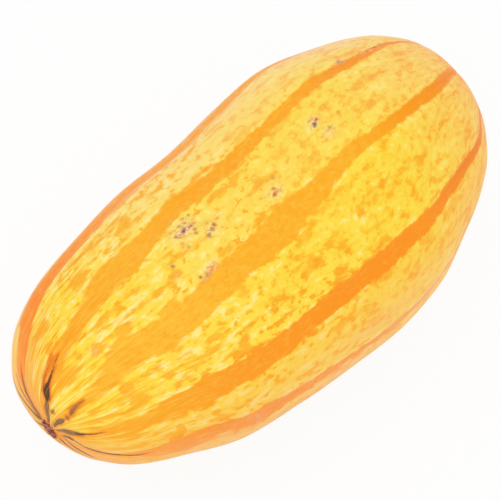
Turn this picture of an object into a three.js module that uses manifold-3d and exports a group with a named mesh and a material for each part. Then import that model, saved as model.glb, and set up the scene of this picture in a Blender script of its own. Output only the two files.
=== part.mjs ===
// Spaghetti squash lying on its side, with the short stub of its stalk.
// Millimetres, +Z up. +X runs from the blossom end to the stem end.
// The origin is under the middle of the bounding box, on the surface the fruit rests on.
import * as THREE from 'three';
import { mergeVertices } from 'three/addons/utils/BufferGeometryUtils.js';
import Module from 'manifold-3d';

const LENGTH = 241.5; // of the closed form, before the dimple at the stem takes its tip away
const REST_PITCH = 2.5; // degrees that the stem end is raised, because that half is fatter
const FLAT_DEPTH = 1.2; // how much of the belly the ground spot flattens

// Stations along the fruit: distance from the blossom scar, radius over the ribs, sideways bow.
const STATIONS = [
  [0, 0, -5],
  [2.5, 16.1, -5.8],
  [9, 28.2, -4.5],
  [20.5, 39.1, -3.3],
  [37.5, 47.5, -1.9],
  [61.5, 55.4, 1.8],
  [90.5, 59.7, 3.2],
  [119.5, 61, 5.3],
  [147.5, 62.7, 5.5],
  [174.5, 61.2, 3.8],
  [198.5, 52.8, 2.6],
  [217.5, 43.5, 2],
  [230.5, 31.7, 1],
  [238, 20.3, 0.5],
  [241.5, 0, 0.6],
];
const BOW_LEAN = 19.6; // degrees below level, on the -Y side, that the bow points

// Furrows: angles in degrees from the top (+Z) towards -Y, at each of these distances along.
const FURROW_ALONG = [0, 25, 65, 120, 175, 208, 225];
const FURROW_ANGLES = [
  [-46, -51, -54, -55, -59, -62, -64],
  [-4, -12, -19, -22, -23, -27, -31],
  [29, 26, 19.5, 15, 12.5, 13.5, 15],
  [58, 58, 56.5, 52.5, 52.5, 55, 66],
  [86, 88, 85.5, 89.5, 92, 94, 95],
  [118, 125, 123, 122, 123, 124.5, 125],
  [156, 161, 160, 159, 158, 158, 158],
  [199, 203, 200, 197, 195, 193.5, 193],
  [237, 240, 236, 233, 231, 229.5, 229],
  [277, 276, 272, 270, 267, 264.5, 263],
];
const FURROW_DEPTH = 1.05; // where the fruit is widest
const FURROW_HALF_WIDTH = 4.5;
const FURROW_FADE = 1.5; // the power of the radius with which the furrows fade towards the ends
const CREASE_SHARE = 0.5; // the rest of the depth is the roundness of the ribs
const RIB_COLUMNS = [0, 0.1, 0.25, 0.5, 0.75, 0.9]; // where mesh columns stand across each rib

const BODY_RINGS = 36;
const RIM_ALONG = 239.3; // where the body starts to turn in to the dimple round the stem
const DIMPLE = [ // distance along and radius
  [239.8, 13.2],
  [239.4, 11.9],
  [238.1, 10.7],
  [236.6, 10],
];
const DIMPLE_FLOOR = 235.9;

const STEM_GAP = 0.3;
const STEM_COLUMNS = 30;
const STEM_ANGLES = 5;
const STEM_PROFILE = [ // distance from the stub's base, radius, depth of its five grooves
  [0, 8.8, 0.2],
  [1.2, 8.4, 0.5],
  [2.8, 7.7, 0.7],
  [3.9, 7.4, 0.7],
  [4.4, 6.9, 0.6],
];
const STEM_PITH = 4; // the cut face dips to here at its middle

const radians = THREE.MathUtils.degToRad;
const wasm = await Module();
wasm.setup();

// A smooth curve through rows of [position, ..., value], with slopes from the neighbouring rows.
function smoothAt(rows, column, position) {
  const last = rows.length - 1;
  const at = THREE.MathUtils.clamp(position, rows[0][0], rows[last][0]);
  let i = 0;
  while (i < last - 1 && at > rows[i + 1][0]) i += 1;
  const slope = (a, b) => (rows[b][column] - rows[a][column]) / (rows[b][0] - rows[a][0]);
  const span = rows[i + 1][0] - rows[i][0];
  const startSlope = slope(Math.max(i - 1, 0), i + 1) * span;
  const endSlope = slope(i, Math.min(i + 2, last)) * span;
  const t = (at - rows[i][0]) / span;
  const start = rows[i][column];
  const end = rows[i + 1][column];
  const bend = 2 * (start - end) + startSlope + endSlope;
  return start + startSlope * t + (end - start - startSlope - bend) * t * t + bend * t * t * t;
}

const widest = Math.max(...STATIONS.map(([, radius]) => radius));

// The squared radius is what runs smoothly through the stations: that rounds both ends.
const areaRows = STATIONS.map(([along, radius]) => [along, radius * radius]);
const bodyRadius = (along) => Math.sqrt(Math.max(smoothAt(areaRows, 1, along), 0));
const bow = (along) => smoothAt(STATIONS, 2, along);

const furrowRows = FURROW_ANGLES.map((angles) => angles.map((angle, i) => [FURROW_ALONG[i], angle]));
const furrowAngle = (furrow, along) => {
  const turns = Math.floor(furrow / furrowRows.length);
  return smoothAt(furrowRows[furrow % furrowRows.length], 1, along) + 360 * turns;
};

// How far the skin lies below the ribs' crowns, at a share across one rib of a given width.
function furrowCut(radius, ribWidth, share) {
  const toFurrow = Math.min(share, 1 - share) * ribWidth;
  const crease = Math.exp(-((toFurrow / FURROW_HALF_WIDTH) ** 2));
  const roundness = 1 - Math.sin(Math.PI * share);
  const depth = FURROW_DEPTH * (radius / widest) ** FURROW_FADE;
  return depth * (CREASE_SHARE * crease + (1 - CREASE_SHARE) * roundness);
}

function placed(along, radius, angle) {
  const sideways = bow(along);
  const lean = radians(BOW_LEAN);
  return new THREE.Vector3(
    along - LENGTH / 2,
    -radius * Math.sin(angle) - sideways * Math.cos(lean),
    radius * Math.cos(angle) - sideways * Math.sin(lean),
  );
}

function bodyRing(along) {
  const radius = bodyRadius(along);
  const ring = [];
  furrowRows.forEach((_, furrow) => {
    const from = radians(furrowAngle(furrow, along));
    const to = radians(furrowAngle(furrow + 1, along));
    RIB_COLUMNS.forEach((share) => {
      const cut = furrowCut(radius, (to - from) * radius, share);
      ring.push(placed(along, radius - cut, from + (to - from) * share));
    });
  });
  return ring;
}

function plainRing(along, radius) {
  const columns = furrowRows.length * RIB_COLUMNS.length;
  const start = furrowAngle(0, along);
  return Array.from({ length: columns }, (_, i) => placed(along, radius, radians(start + 360 * i / columns)));
}

// A closed skin over rings of equal size, with a point at each end.
function skinOver(firstPoint, rings, lastPoint) {
  const columns = rings[0].length;
  const points = [firstPoint, ...rings.flat(), lastPoint];
  const lastIndex = points.length - 1;
  const index = [];
  for (let column = 0; column < columns; column += 1) {
    const next = (column + 1) % columns;
    index.push(0, 1 + next, 1 + column);
    for (let ring = 0; ring < rings.length - 1; ring += 1) {
      const here = 1 + ring * columns;
      const beyond = here + columns;
      index.push(here + column, here + next, beyond + next);
      index.push(here + column, beyond + next, beyond + column);
    }
    const end = 1 + (rings.length - 1) * columns;
    index.push(end + column, end + next, lastIndex);
  }
  const geometry = new THREE.BufferGeometry().setFromPoints(points);
  geometry.setIndex(index);
  return geometry;
}

function fruitSkin() {
  const rimTurn = Math.acos(1 - 2 * RIM_ALONG / LENGTH);
  const rings = [];
  for (let i = 1; i <= BODY_RINGS; i += 1) {
    rings.push(bodyRing(LENGTH / 2 * (1 - Math.cos(rimTurn * i / BODY_RINGS))));
  }
  DIMPLE.forEach(([along, radius]) => rings.push(plainRing(along, radius)));
  rings.push(plainRing(DIMPLE_FLOOR, DIMPLE.at(-1)[1]));
  return skinOver(placed(0, 0, 0), rings, placed(DIMPLE_FLOOR, 0, 0));
}

// The woody stub: five blunt angles, a flared base on the dimple's floor and a cut end.
function stemStub() {
  const base = DIMPLE_FLOOR + STEM_GAP;
  const rings = STEM_PROFILE.map(([height, radius, groove]) => {
    const ring = [];
    for (let i = 0; i < STEM_COLUMNS; i += 1) {
      const angle = 2 * Math.PI * i / STEM_COLUMNS;
      const lobes = groove * (1 - Math.cos(STEM_ANGLES * angle)) / 2;
      ring.push(placed(base, radius - lobes, angle).setX(base + height - LENGTH / 2));
    }
    return ring;
  });
  const pith = placed(base, 0, 0).setX(base + STEM_PITH - LENGTH / 2);
  return skinOver(placed(base, 0, 0), rings, pith);
}

function toSolid(geometry) {
  const bare = geometry.clone();
  bare.deleteAttribute('normal');
  bare.deleteAttribute('uv');
  const merged = mergeVertices(bare);
  return new wasm.Manifold(new wasm.Mesh({
    numProp: 3,
    vertProperties: merged.attributes.position.array,
    triVerts: new Uint32Array(merged.index.array),
  }));
}

function toGeometry(solid) {
  const mesh = solid.getMesh();
  const geometry = new THREE.BufferGeometry();
  geometry.setAttribute('position', new THREE.BufferAttribute(mesh.vertProperties, 3));
  geometry.setIndex(new THREE.BufferAttribute(mesh.triVerts, 1));
  geometry.computeVertexNormals();
  return geometry;
}

// Everything is pitched to the way the fruit lies, and the ground spot is cut level.
const pitched = (geometry) => geometry.rotateY(-radians(REST_PITCH));
const whole = pitched(fruitSkin());
whole.computeBoundingBox();
const groundLevel = whole.boundingBox.min.z + FLAT_DEPTH;
const ground = new THREE.BoxGeometry(2 * LENGTH, 2 * LENGTH, LENGTH);
ground.translate(0, 0, groundLevel - LENGTH / 2);

const fruit = new THREE.Mesh(
  toGeometry(toSolid(whole).subtract(toSolid(ground))),
  new THREE.MeshStandardMaterial({ color: 0xffc83c, roughness: 0.45, metalness: 0 }),
);
fruit.name = 'fruit';

const stem = new THREE.Mesh(
  toGeometry(toSolid(pitched(stemStub()))),
  new THREE.MeshStandardMaterial({ color: 0xa38a5c, roughness: 0.85, metalness: 0 }),
);
stem.name = 'stem';

const squash = new THREE.Group();
squash.add(fruit, stem);
const box = new THREE.Box3().setFromObject(squash, true);
const middle = box.getCenter(new THREE.Vector3());
squash.position.set(-middle.x, -middle.y, -box.min.z);

export default squash;
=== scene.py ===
import math

import bpy
import numpy as np
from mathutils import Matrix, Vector


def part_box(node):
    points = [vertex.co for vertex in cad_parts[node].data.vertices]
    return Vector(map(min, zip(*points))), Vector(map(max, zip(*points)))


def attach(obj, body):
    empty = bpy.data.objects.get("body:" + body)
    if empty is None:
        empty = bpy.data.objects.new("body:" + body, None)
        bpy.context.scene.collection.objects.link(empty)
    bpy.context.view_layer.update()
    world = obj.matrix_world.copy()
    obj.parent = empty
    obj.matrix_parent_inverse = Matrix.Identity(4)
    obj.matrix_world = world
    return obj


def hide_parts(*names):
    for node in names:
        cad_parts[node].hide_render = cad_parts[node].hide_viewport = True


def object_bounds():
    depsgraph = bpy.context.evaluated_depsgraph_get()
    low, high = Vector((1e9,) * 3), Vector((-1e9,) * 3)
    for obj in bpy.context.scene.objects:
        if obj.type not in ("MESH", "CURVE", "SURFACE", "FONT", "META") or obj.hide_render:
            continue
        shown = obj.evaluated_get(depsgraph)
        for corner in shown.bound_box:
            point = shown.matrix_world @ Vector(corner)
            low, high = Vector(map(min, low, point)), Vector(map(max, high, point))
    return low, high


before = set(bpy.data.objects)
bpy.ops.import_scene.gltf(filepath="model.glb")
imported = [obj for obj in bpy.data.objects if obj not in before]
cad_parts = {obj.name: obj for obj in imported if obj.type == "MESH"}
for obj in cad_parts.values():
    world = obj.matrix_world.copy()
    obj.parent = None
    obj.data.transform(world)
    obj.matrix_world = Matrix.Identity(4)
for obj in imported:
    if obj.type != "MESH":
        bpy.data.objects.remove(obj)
cadBox = [list(corner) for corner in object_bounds()]
fruitLow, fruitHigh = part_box("fruit")
mm = 0.001
print("frame loaded, box", cadBox)


# the fruit's form, in millimetres and degrees; along runs from the blossom scar
fruit = {
    "length": 241.5,
    "restPitch": 2.5,  # the stem end lies this much higher
    "bowLean": 19.6,  # the bow points this far below level, on the -Y side
    "stations": [  # along, radius over the ribs, sideways bow
        (0, 0, -5),
        (2.5, 16.1, -5.8),
        (9, 28.2, -4.5),
        (20.5, 39.1, -3.3),
        (37.5, 47.5, -1.9),
        (61.5, 55.4, 1.8),
        (90.5, 59.7, 3.2),
        (119.5, 61, 5.3),
        (147.5, 62.7, 5.5),
        (174.5, 61.2, 3.8),
        (198.5, 52.8, 2.6),
        (217.5, 43.5, 2),
        (230.5, 31.7, 1),
        (238, 20.3, 0.5),
        (241.5, 0, 0.6),
    ],
    "columns": 40,
    "tipRings": (1.2, 2.6, 4.8, 8),  # radii of the fine rings round the blossom scar
    "bodyRings": 26,
    "bodyFrom": 1.1,
    "rimAlong": 239.1,
    "dimple": [(239.65, 13.6), (239.7, 12.2), (239.1, 10.8), (238.2, 9.6), (237.7, 8.3), (237.5, 5)],
    "furrowDepth": 1.05,
    "furrowHalfWidth": 4.5,
    "furrowFade": 1.5,
    "creaseShare": 0.5,
    "lumps": ((0.055, 1.1), (0.013, 0.28)),  # size in metres and height in millimetres
    "flatSoftness": 0.25,
    "scarAside": 9.4,  # the scar sits off the axis, towards -Y and up
    "scarUp": 6.7,
    "scarReach": 18,
    "scarless": 99,  # what stands for the distance to the scar at the other end
    "tipEnd": 60,  # what is drawn towards the scar lies nearer the blossom end than this
    "profileSteps": 3001,
    "snapBlend": 4,  # how softly the rim lets go of the profile
    "dimpleEdge": (13, 3),  # where the furrows have died out round the stem, and how softly
    "dimpleFrom": 200,
    "grainRadius": 50,
    "grainDraw": (3, 42),  # how much the grain is drawn out at the scar, and how far that reaches
    "puckerEnd": 20,
    "puckerDepth": 0.8,
    "puckerReach": 5.5,
    "pleatDepth": 0.35,
    "pleatRing": (6, 4),  # the pleats' distance from the scar's middle and their half width
    "buttonHeight": 1.3,
    "buttonRadius": 3.3,
    "ovalSet": (1.2, 2.8, 1.25),  # the brown oval's shift to the +Y side and down, and its stretch
}

# every furrow carries a stripe: its angle from the top towards -Y at each place in furrowAlong,
# and how many degrees the stripe reaches up and down from it at each place in reachAlong
furrowAlong = (0, 25, 65, 120, 175, 208, 225)
reachAlong = (0, 13, 21, 31, 41, 51, 66, 76, 91, 106, 121, 141, 161, 176, 206, 231)
plainReach = (6, 7, 7, 7, 6.5, 6, 5.5, 5.5, 5, 5, 4.5, 4, 3.5, 3, 3, 2)
wideReach = (8, 9, 9, 8, 7.5, 7, 7, 7, 7, 6, 6, 5, 3.5, 2.5, 2.5, 2)
furrows = [
    {
        "angle": (-46, -51, -54, -55, -59, -62, -64),
        "up": (8, 4, 10, 13, 12, 11, 11, 11, 11, 11, 10.5, 10, 8, 5, 4, 3),
        "down": (11, 12, 10, 6.5, 6, 5, 4.5, 4, 4, 4, 4, 4, 3.5, 3, 3, 2),
        "red": (1, 1, 0.8, 0.55, 0.5, 0.5, 0.5),
    },
    {
        "angle": (-4, -12, -19, -22, -23, -27, -31),
        "up": (5, 5, 4.5, 4, 6, 8.5, 6.5, 3.7, 5.5, 4.3, 4, 3.3, 3.2, 3, 1.6, 2),
        "down": (6, 9, 7.5, 7, 7, 6.7, 8.5, 6.5, 5, 4.2, 4.4, 3.6, 3, 3.5, 5, 2),
        "red": (0.5, 0.35, 0.15, 0.3, 0.25, 0.45, 0.6),
    },
    {
        "angle": (29, 26, 19.5, 15, 12.8, 14.7, 15.5),
        "up": (5, 5.7, 9.7, 14, 9, 8.8, 6.2, 6.2, 6.5, 6.6, 7.4, 6, 5, 2.5, 2.5, 5),
        "down": (5, 2, 2.8, 2.8, 3.5, 5.7, 6.5, 6.5, 6.3, 6, 6.5, 4, 1.6, 3, 4, 4.5),
        "red": (0.2, 0, 0, 0, 0, 0.2, 0.6),
    },
    {
        "angle": (58, 58, 56.5, 52.5, 53.2, 57, 62.5),
        "up": (4, 5, 7, 6.4, 9, 9.7, 9, 6.4, 5, 5, 5, 4.5, 4.2, 2.2, 2.6, 3),
        "down": (6, 3.5, 3, 4, 6, 4.8, 3.5, 4.6, 4.9, 4.5, 4.7, 4.5, 5, 5, 4, 3),
        "red": (0.3, 0.25, 0.6, 0.95, 1, 1, 1),
    },
    {
        "angle": (86, 88, 85.5, 89.5, 92, 94, 95),
        "up": (6, 4.2, 5.9, 8.3, 8.6, 9.7, 6, 5.2, 4, 3.4, 2.8, 2.4, 2, 1.7, 1.3, 1),
        "down": (6, 3.3, 4, 7.2, 9, 2.5, 6, 6.3, 4, 3.4, 2.8, 2.4, 2, 1.7, 1.3, 1),
        "red": (0.4, 0.6, 0.85, 0.9, 1, 1, 1),
    },
    {
        "angle": (118, 125, 123, 122, 123, 124.5, 125),
        "up": plainReach,
        "down": plainReach,
        "red": (0.3, 0.3, 0.3, 0.5, 0.7, 0.8, 0.8),
    },
    {
        "angle": (156, 161, 160, 159, 158, 158, 158),
        "up": plainReach,
        "down": wideReach,
        "red": (0.3, 0.2, 0.2, 0.3, 0.5, 0.6, 0.6),
    },
    {
        "angle": (199, 203, 200, 197, 195, 193.5, 193),
        "up": wideReach,
        "down": plainReach,
        "red": (0.3, 0.2, 0.1, 0.3, 0.5, 0.6, 0.6),
    },
    {
        "angle": (237, 240, 236, 233, 231, 229.5, 229),
        "up": plainReach,
        "down": plainReach,
        "red": (0.3, 0.3, 0.4, 0.7, 0.9, 1, 1),
    },
    {
        "angle": (277, 276, 272, 270, 267, 264.5, 263),
        "up": plainReach,
        "down": wideReach,
        "red": (0.5, 0.5, 0.4, 0.4, 0.6, 0.7, 0.7),
    },
]

# how orange the yellow is in the band below each furrow; below nought it is creamy
bandWarmth = (-0.4, -0.15, 0.05, 0.4, 0.55, 0.4, 0.2, 0.1, 0.2, -0.3)

# where the bands blush orange pink: along, angle, half length, half width, strength
blushes = [
    (4, -40, 16, 13, 0.9),
    (6, 100, 18, 16, 0.8),
    (10, -80, 16, 16, 0.7),
    (8, 160, 14, 18, 0.6),
    (8, 230, 14, 18, 0.6),
    (70, -73, 50, 9, 0.7),
    (70, 101, 60, 8, 0.5),
    (55, 88, 42, 8, 0.85),
    (135, 80, 22, 5, 0.35),
    (237, 0, 9, 90, 0.55),
]

# painted sheen: where a pale peach is painted on as the skin turns away to the sides, standing in for the
# sheen there: along, angle, half length, half width, strength
paintedSheenPatches = [
    (115, 97, 38, 7, 0.45),
    (165, 92, 38, 9, 0.4),
    (60, 99, 40, 8, 0.28),
    (140, 78, 60, 10, 0.15),
    (105, -50.5, 26, 2.4, 0.6),
    (110, -67, 45, 5, 0.5),
    (150, -48, 40, 6, 0.22),
    (195, -50, 28, 9, 0.45),
    (28, -73, 22, 9, 0.4),
]

# islands of stripe colour in the yellow, and of yellow in the orange:
# along, angle, half length, half width in millimetres
orangeIslands = [
    (22.5, -30.5, 11, 2.4),
    (23, -21.5, 2.2, 1.2),
    (18.5, -16, 2, 2),
    (47, -30, 5, 3.9),
    (44.5, -36.5, 5.5, 0.7),
    (42.5, -40.3, 4.5, 0.7),
    (55, -42.3, 8, 2),
    (67.5, -38.5, 7, 1.5),
    (64, -30, 3, 1.6),
    (54.5, -33, 5, 0.9),
    (74, -33.3, 4.5, 1.3),
    (74.5, -41.7, 5.5, 1.2),
    (80.5, -31.2, 6, 0.9),
    (67.5, -27.5, 6, 1.3),
    (81.5, -47.5, 4, 1),
    (99.5, -36.5, 5, 1.6),
    (119.5, -27.5, 4, 1.6),
    (121.5, -45, 4, 2),
    (39, -2.5, 5, 1.7),
    (50.5, 3, 7, 1.4),
    (31.5, 6, 3, 2.8),
    (38.5, 10, 4.5, 2.6),
    (43.5, 7.5, 4.2, 3.3),
    (63.5, 3.8, 3.2, 2),
    (70.5, 6, 1.6, 0.8),
    (65.5, 10, 3.4, 1.1),
    (77, -2.2, 3, 0.8),
    (16.5, 7.5, 6, 2.6),
    (29.5, 34, 3, 3.4),
    (30.5, 43, 4, 2.7),
    (44, 31.5, 2.7, 2.2),
    (45.5, 37.5, 2.4, 1.8),
    (56, 33, 4.6, 1.5),
    (54, 28.5, 2.2, 1.8),
    (55, 39.5, 3.7, 0.9),
    (50, 42.5, 3, 1.2),
    (66.5, 33.2, 2, 1.3),
    (65.5, 37, 7, 0.6),
    (69.5, 44, 4.6, 1),
    (78.5, 41.8, 3.4, 1.6),
    (79.5, 28.7, 3, 0.8),
    (81.5, 38.2, 4, 0.8),
    (57.2, 45.6, 1.7, 1.4),
    (18.5, 43.5, 4, 0.8),
    (22.5, 48, 6.5, 0.9),
    (14, 36.8, 1.4, 1.2),
    (99.5, 44, 5, 1),
    (94.5, 38.5, 3, 1.2),
    (128.5, 43.5, 4, 2),
    (149.5, 31, 3, 2.4),
    (164.5, 28.5, 4, 1.6),
    (120.5, 34, 3.5, 1.4),
    (20.5, 66.8, 4.6, 1.7),
    (38.5, 71, 2, 3.4),
    (32.5, 73, 3.6, 1.7),
    (36, 77, 2.2, 3.2),
    (49.5, 72.5, 2.6, 1.3),
    (53.5, 68, 1.8, 2),
    (68.5, 71.8, 1.7, 1.1),
    (77.5, 64.6, 2.4, 1.4),
    (81.5, 70, 3, 1),
    (112, 63, 3, 0.8),
    (122, 65, 1.6, 2.4),
    (133, 67, 2, 1.1),
    (154.5, 67.5, 2, 1.2),
    (19.5, 76, 3.6, 1),
    (15.5, 71.8, 1.6, 0.9),
    (116.5, 6.5, 4, 2.2),
    (128.8, 2, 1.8, 2.2),
    (31.5, 140, 12, 5),
    (41.5, 180, 10, 6),
    (29.5, 220, 12, 5),
    (53.5, 214, 7, 3),
    (37.5, 256, 9, 4),
    (63.5, 252, 6, 3),
]
yellowIslands = [
    (34.5, -30, 7.5, 6.5),
    (34.5, -39, 5, 3.6),
    (32.5, -22, 11, 4),
    (20.5, -22, 4, 2.4),
    (13.5, -17, 3, 1.4),
    (25.5, -16.5, 5, 1.4),
    (25, 12.5, 6.5, 3.2),
    (20, 16.5, 3.6, 2.4),
    (14, 21.5, 4.5, 1.5),
    (41.2, 12.6, 2.7, 0.9),
    (76.5, -8.5, 4.2, 2),
    (37.5, 6.5, 3.4, 2.6),
    (64.5, 12, 9, 1.1),
    (38.5, 29, 7, 1.6),
    (65.5, 27.5, 9, 1.2),
    (131, 20, 2.2, 1.8),
    (44.5, 70, 3.5, 7),
    (17.5, 79.5, 6, 2.2),
    (25.5, 63, 6, 1.4),
    (25.5, 73, 5, 3.4),
    (17.5, 145, 8, 3),
    (21.5, 182, 9, 4),
    (19.5, 222, 8, 4),
    (25.5, 256, 9, 3),
]

# dark lines and blots that run out from the blossom scar: a line is a row of
# (distance walked from the scar, angle, half width), its rust is how far the orange reaches,
# and its shade goes from olive at nought to nearly black at one
tipLines = [
    {"shade": 0.1, "rust": 0.3, "path": [
        (5, -4, 1), (8, 6, 1.2), (11, 5, 1.4), (14.4, 3.1, 1.5), (17, 3.4, 1.5), (19.4, 2.8, 1.2),
        (21, 2.2, 0.5)]},
    {"shade": 0.8, "rust": 1.2, "path": [
        (20.8, 1.5, 0.7), (22.6, 0, 1.9), (24.3, -1.7, 2.3), (26.2, -3.3, 2.2), (27.8, -4.1, 1.7),
        (29.5, -4.3, 1)]},
    {"shade": 0.5, "rust": 1, "path": [
        (29, -4.2, 0.9), (31.4, -4.3, 0.7), (35.4, -5.9, 0.6), (38.6, -6.7, 0.4), (44, -9.2, 0.05)]},
    {"shade": 0.5, "rust": 1.7, "path": [
        (26.2, -6.5, 0.7), (28, -8.2, 0.35), (31, -10.3, 0.15), (36, -10.6, 0.1), (42, -12.5, 0)]},
    {"shade": -0.4, "rust": 0.4, "path": [(15.6, 14.6, 0.3), (17.8, 15.2, 1.2), (20, 15.3, 0.3)]},
    {"shade": 0.45, "rust": 0.5, "path": [
        (6.5, 34, 0.6), (11, 33.5, 0.7), (14.5, 32.8, 1.2), (17.3, 33, 1.3), (19.5, 32.9, 1),
        (21, 32.8, 0.2)]},
    {"shade": 0, "rust": 1.1, "path": [(21.9, 32.5, 0.2), (23.6, 32.1, 1.2), (25.3, 31.9, 0.2)]},
    {"shade": 0.2, "rust": 1.3, "path": [
        (26, 30.9, 0.2), (27.4, 29.3, 0.8), (28.7, 28, 1.1), (30.4, 26.9, 1), (32.2, 26.2, 0.7),
        (38, 25.3, 0.1)]},
    {"shade": 0.15, "rust": 0.4, "path": [
        (5.8, 57, 0.7), (11, 53.5, 0.8), (13.7, 53.6, 1.3), (16, 54.1, 1.7), (18, 54.9, 1.8),
        (20.5, 55.4, 1.4)]},
    {"shade": 0.5, "rust": 0.8, "path": [
        (20, 55.3, 1.3), (22.7, 56.2, 1.2), (24.4, 56.3, 1), (26.4, 56, 0.5), (31, 56.6, 0.3),
        (37, 55.5, 0.05)]},
    {"shade": 0.35, "rust": 0.5, "path": [
        (5.6, 108, 0.8), (7.2, 117, 1), (9, 118, 1.1), (11.4, 119, 1), (15, 119.5, 0.9), (20, 118.5, 0.6),
        (26, 117, 0.1)]},
    {"shade": 0.25, "rust": 0.2, "path": [
        (8, 78, 0.6), (11.2, 86.2, 0.7), (15.1, 96.9, 0.8), (17.4, 101, 1), (19.6, 101.3, 1),
        (23.9, 104.5, 0.9), (25.8, 105.2, 0.7), (28.1, 106, 0.1)]},
    {"shade": 0.2, "rust": 0.2, "path": [
        (10, 73, 0.5), (12.7, 70.8, 0.7), (14.6, 71.5, 1.1), (16.2, 70.8, 1.4), (17.6, 72.9, 0.9),
        (18.9, 76.8, 0.8), (22.6, 82.4, 0.8), (27.3, 84, 0.8), (33.7, 86.4, 0.65), (45, 88, 0.45),
        (53, 86.6, 0.05)]},
    {"shade": 0.15, "rust": 0.4, "path": [
        (6, -67, 0.8), (9, -57, 1), (11.2, -54.5, 1.2), (14, -49.2, 1.2), (16.9, -47.4, 1.1),
        (20.4, -44.3, 0.9), (24.7, -43.6, 0.7), (29, -44.3, 0.1)]},
    {"shade": 0.35, "rust": 0.7, "path": [
        (7, -73, 0.5), (11, -67, 0.6), (15, -63, 0.5), (20, -60, 0.3), (25, -58, 0.05)]},
    {"shade": 0.15, "rust": 0.3, "path": [
        (5.5, -75, 0.9), (8.2, -88, 1.1), (10.4, -90, 1.2), (13.6, -89, 1.2), (16.9, -88, 1.1),
        (20, -86, 0.7), (25, -84, 0.1)]},
    {"shade": 0.3, "rust": 0.2, "path": [
        (7, -122, 0.8), (10, -124.7, 0.9), (12.7, -126.3, 0.8), (16, -126.6, 0.2)]},
    {"shade": 0.4, "rust": 0.5, "path": [(9, 152, 0.5), (14, 153, 0.7), (20, 155, 0.4), (26, 157, 0.05)]},
    {"shade": 0.5, "rust": 0.5, "path": [(9, 197, 0.4), (13, 198, 0.7), (17, 200, 0.9), (23, 202, 0.05)]},
]

# faint pink and cream patches: along, angle, half length, half width, strength
patches = [
    (89.5, -10, 5.5, 4.4, 0.9),
    (98, -2.5, 3.4, 2.8, 0.75),
    (104, -5, 3, 2, 0.3),
    (86.5, 9.8, 3.2, 2, 0.75),
    (82.5, 11.2, 3, 1.2, 0.7),
    (128.5, 2, 3.4, 3, 0.8),
    (162, -8, 3, 2.6, 0.7),
    (163.8, -0.4, 2.6, 2.4, 0.7),
    (29.5, 7, 1.5, 1.2, 0.4),
    (73.5, 4.2, 1.6, 1.4, 0.4),
    (85.9, -2.7, 2, 1.2, 0.4),
    (68.5, 86.5, 1.6, 3, 0.6),
    (95.5, 85.5, 1.5, 1.5, 0.6),
    (194.9, -27.6, 2.6, 1.6, 0.7),
    (208.5, -27, 8, 1, 0.6),
    (105.5, 215, 4, 3, 0.8),
    (151.5, 262, 3, 2.5, 0.8),
    (62.5, 140, 3, 3, 0.7),
    (179.5, 118, 3.5, 2, 0.7),
]

# scab dots: along, angle, radius in millimetres, strength
slateDots = [
    (89.4, -9.3, 0.87, 0.95),
    (90.7, -9.9, 0.61, 0.6),
    (93.3, -9, 0.78, 0.5),
    (95.6, -0.6, 0.78, 0.7),
    (161.8, -7.1, 0.78, 1),
    (161.2, -6.5, 0.7, 0.9),
    (194.4, -27.9, 0.96, 0.4),
    (195.7, -27.2, 0.7, 0.5),
    (105.5, 215, 0.87, 0.9),
    (62.5, 140, 0.78, 0.9),
]
brownDots = [
    (96.2, -13.9, 0.52, 0.7),
    (93.2, -14.3, 0.7, 0.6),
    (89.9, -12.4, 0.43, 0.6),
    (92.4, -11.9, 0.43, 0.6),
    (85.6, -9.5, 0.7, 0.7),
    (86.3, -8.2, 0.52, 0.4),
    (92.4, -4.9, 0.52, 0.7),
    (98.2, -2, 0.78, 0.75),
    (98.7, -5.8, 0.7, 0.35),
    (75.6, -0.8, 0.78, 0.75),
    (132.3, -3, 0.78, 0.35),
    (163.9, -8.1, 0.7, 0.7),
    (161.3, -9.6, 0.52, 0.45),
    (165, -1.7, 0.61, 0.5),
    (172.9, -3.8, 0.78, 0.3),
    (208.5, -26.5, 0.61, 0.35),
    (213.5, -28.4, 0.7, 0.5),
    (216.5, -29.6, 0.61, 0.4),
    (107.5, 213, 0.7, 0.7),
    (151.5, 262, 0.87, 0.8),
    (179.5, 118, 0.87, 0.8),
]
redDots = [
    (93.2, -6.7, 0.6, 0.9),
    (100.3, -3, 0.7, 0.9),
    (80.6, 10.3, 0.6, 0.85),
    (83.2, 11.4, 0.9, 0.6),
    (84.4, 11.3, 0.6, 0.5),
    (85.9, -2.7, 0.7, 0.4),
    (127.6, 2.8, 0.7, 0.85),
    (129.1, 0.7, 0.7, 0.6),
    (130.3, 3.4, 0.6, 0.35),
]


def smoothAt(places, values, where):
    # a smooth curve through the rows, with slopes from the neighbouring rows
    places, values = np.asarray(places, float), np.asarray(values, float)
    where = np.clip(where, places[0], places[-1])
    last = len(places) - 1
    i = np.clip(np.searchsorted(places, where, side="left") - 1, 0, last - 1)
    before, after = np.maximum(i - 1, 0), np.minimum(i + 2, last)
    span = places[i + 1] - places[i]
    startSlope = (values[i + 1] - values[before]) / (places[i + 1] - places[before]) * span
    endSlope = (values[after] - values[i]) / (places[after] - places[i]) * span
    t = (where - places[i]) / span
    rise = values[i + 1] - values[i]
    bend = startSlope + endSlope - 2 * rise
    return values[i] + startSlope * t + (rise - startSlope - bend) * t**2 + bend * t**3


stationAlong, stationRadius, stationBow = zip(*fruit["stations"])


def bodyRadius(along):
    return np.sqrt(np.maximum(smoothAt(stationAlong, np.square(stationRadius), along), 0))


def openPiece(piece):
    bpy.ops.object.select_all(action="DESELECT")
    bpy.context.view_layer.objects.active = piece
    piece.select_set(True)


def pick(piece, test):
    # selects the vertices that pass the test, and leaves the piece open for editing
    bpy.ops.object.mode_set(mode="EDIT")
    bpy.ops.mesh.select_mode(type="VERT")
    bpy.ops.mesh.select_all(action="DESELECT")
    bpy.ops.object.mode_set(mode="OBJECT")
    for vertex in piece.data.vertices:
        vertex.select = bool(test(vertex.co))
    bpy.ops.object.mode_set(mode="EDIT")


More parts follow.
